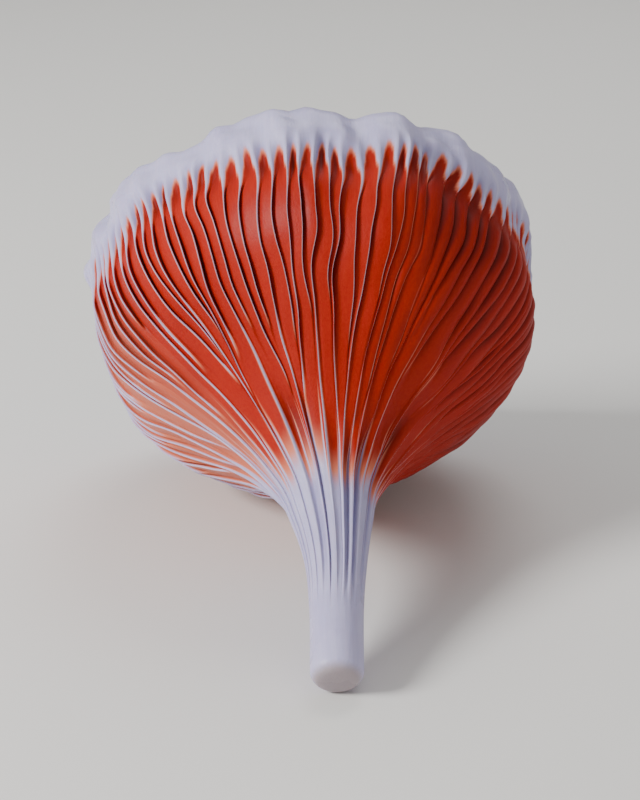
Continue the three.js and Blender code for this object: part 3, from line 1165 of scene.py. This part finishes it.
# %% Relief and shine
BUMP_HEIGHT = 0.12  # mm, more than the real threads have, so that they show
SEE_THROUGH = 1.2  # mm
relief = add_node(
    tree, "ShaderNodeMath", {"operation": "MULTIPLY_ADD"}, {1: 0.35},
    {0: grain.outputs["Fac"], 2: fibres.outputs["Fac"]},
)
bump = add_node(
    tree, "ShaderNodeBump", {}, {"Strength": 0.4, "Distance": BUMP_HEIGHT * MM},
    {"Height": relief.outputs[0]},
)
pale_roughness = add_node(
    tree, "ShaderNodeMapRange", {},
    {"From Min": 0.3, "From Max": 0.7, "To Min": 0.22, "To Max": 0.36},
    {"Value": patches.outputs["Fac"]},
)
roughness = add_node(
    tree, "ShaderNodeMath", {"operation": "MULTIPLY_ADD"}, {1: 0.22},
    {0: fact["redness"].outputs["Fac"], 2: pale_roughness.outputs[0]},
)
skin = add_node(
    tree, "ShaderNodeBsdfPrincipled", {},
    {"IOR": 1.4, "Specular IOR Level": 0.24, "Subsurface Weight": 0.12,
     "Subsurface Scale": SEE_THROUGH * MM, "Subsurface Radius": (1.0, 0.4, 0.25)},
    {"Base Color": colour.outputs[MIX_RESULT], "Roughness": roughness.outputs[0],
     "Normal": bump.outputs["Normal"]},
)
add_node(tree, "ShaderNodeOutputMaterial", {}, {}, {"Surface": skin.outputs["BSDF"]})
mesh.materials.append(flesh)
print("flesh:", len(tree.nodes), "nodes")

# %% [markdown]
# ## Studio
#
# The mushroom lies on uncoated studio paper, pressed and dried without a glaze. It gives the
# eye a matt, even ground that takes a soft shadow and shows no mirror image. A plain square
# sheet would end in a hard line when seen from low down, and from one side only a sweep of
# paper would do. So the paper is round: flat in the middle, and curved up into a wall all round.

# %% Paper floor that curves up all round
FLAT_RADIUS = 1.3  # metres, like the next two
CURVE_RADIUS = 0.9
WALL_HEIGHT = 2.2
AROUND = 96  # points to a ring


def paper_sweep():
    """A flat round floor whose rim curves up into a wall, as faces over rings of points."""
    bend = np.radians(np.linspace(0, 90, 13))
    radii = np.concatenate([[0.4], FLAT_RADIUS + CURVE_RADIUS * np.sin(bend)])
    heights = np.concatenate([[0.0], CURVE_RADIUS * (1 - np.cos(bend))])
    radii = np.append(radii, radii[-1])
    heights = np.append(heights, WALL_HEIGHT)
    turn = 2 * math.pi * np.arange(AROUND) / AROUND
    points = [(0.0, 0.0, 0.0)]
    for r, z in zip(radii, heights):
        points += [(r * math.cos(a), r * math.sin(a), z) for a in turn]
    quads = []
    for i in range(AROUND):
        j = (i + 1) % AROUND
        quads.append((0, 1 + i, 1 + j))
        for ring in range(len(radii) - 1):
            low = 1 + ring * AROUND
            high = low + AROUND
            quads.append((low + i, high + i, high + j, low + j))
    return points, quads


floor_mesh = bpy.data.meshes.new("paper_floor")
floor_points, floor_faces = paper_sweep()
floor_mesh.from_pydata(floor_points, [], floor_faces)
floor_mesh.polygons.foreach_set("use_smooth", [True] * len(floor_mesh.polygons))
floor = bpy.data.objects.new("paper_floor", floor_mesh)
bpy.context.scene.collection.objects.link(floor)
floor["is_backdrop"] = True
print("floor and wall:", len(floor_faces), "faces")

# %% [markdown]
# ## Paper
#
# Paper is a dry felt of fibres. It spreads light almost evenly, so it is very rough, with little
# shine. Its fibres are far too fine and too far from the lens to be seen, and a pattern would
# draw the eye from the mushroom, so a warm white without any is right here.

# %% Paper
paper = new_material("pale_paper")
paper_shader = add_node(
    paper.node_tree, "ShaderNodeBsdfPrincipled", {},
    {"Base Color": linear("#E6E4E0"), "Roughness": 0.9, "Specular IOR Level": 0.2},
)
add_node(
    paper.node_tree, "ShaderNodeOutputMaterial", {}, {}, {"Surface": paper_shader.outputs["BSDF"]}
)
floor_mesh.materials.append(paper)
print("paper:", len(paper.node_tree.nodes), "nodes")

# %% [markdown]
# ## Lights
#
# A studio lights such a small thing with one soft box from the side, so that each gill's face is
# lit and its slit is dark. A point light would do that too, but with hard shadows. The key light
# is a disk 24 cm wide, a little above the mushroom on its left. A weak wide one on the right
# keeps the shaded side readable, one from behind draws the margin's edge, and the air itself
# gives an even, faintly cool light, as a pale room does.


# %% Lights
LIT_POINT = Vector((0.0, 0.0, 0.035))  # the middle of the mushroom, in metres


def soft_light(name, position, size, power):
    """A round area light that faces the mushroom; metres and watts."""
    lamp_data = bpy.data.lights.new(name, "AREA")
    lamp_data.shape = "DISK"
    lamp_data.size = size
    lamp_data.energy = power
    lamp = bpy.data.objects.new(name, lamp_data)
    lamp.location = position
    lamp.rotation_euler = (LIT_POINT - Vector(position)).to_track_quat("-Z", "Y").to_euler()
    bpy.context.scene.collection.objects.link(lamp)
    print(name, "is", round((LIT_POINT - Vector(position)).length, 2), "m away")


soft_light("key_light", (-0.55, -0.25, 0.38), 0.24, 6.6)
soft_light("fill_light", (0.55, -0.4, 0.3), 0.5, 0.6)
soft_light("back_light", (0.1, 0.4, 0.6), 0.4, 1.6)
world = bpy.data.worlds.new("studio_air")
bpy.context.scene.world = world
world.use_nodes = True
air = world.node_tree.nodes["Background"]
air.inputs["Color"].default_value = linear("#E8EAEE")
air.inputs["Strength"].default_value = 0.56
print("the air's strength:", round(air.inputs["Strength"].default_value, 2))

# %% [markdown]
# ## Camera
#
# The camera looks down on the lying mushroom from its foot's end, so that the line of sight
# makes 42 degrees with the plane across the stem. It aims at a point on the stem's axis. A
# Track To constraint could keep it aimed, but would fight any other view of the scene, so its
# direction is worked out once.

# %% Camera
LINE_OF_SIGHT = 42.0  # degrees
CAMERA_DISTANCE = 340.0  # mm
AIM_HEIGHT = 57.5  # up the stem's axis, from the foot
AIM_BESIDE = 1.0  # towards +X
FOCAL_LENGTH = 89.5  # mm, on Blender's usual 36 mm sensor

elevation = math.radians(90 - LINE_OF_SIGHT - tilt)
aim = np.array([AIM_BESIDE, -AIM_HEIGHT * math.sin(angle), AIM_HEIGHT * math.cos(angle)])
target = Vector(aim + offset)
away = Vector((0, -math.cos(elevation), math.sin(elevation)))
camera_data = bpy.data.cameras.new("camera")
camera_data.lens = FOCAL_LENGTH
camera_data.clip_start = 10 * MM
camera = bpy.data.objects.new("camera", camera_data)
camera.location = (target + away * CAMERA_DISTANCE) * MM
camera.rotation_euler = (-away).to_track_quat("-Z", "Y").to_euler()
bpy.context.scene.collection.objects.link(camera)
bpy.context.scene.camera = camera
print("the camera looks down", round(math.degrees(elevation), 1), "degrees")

# %% [markdown]
# ## Sizes and the end
#
# The fine skin is meant to be the same size as the plain solid that it stands for. How far the
# skin's high corner lies past the solid's is printed at the end.

# %% Sizes and the end
visual_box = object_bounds()
past = [round((v - c) / MM, 2) for v, c in zip(visual_box[1], cad_box[1])]
print("the skin's high corner is past the solid's by", past, "mm")
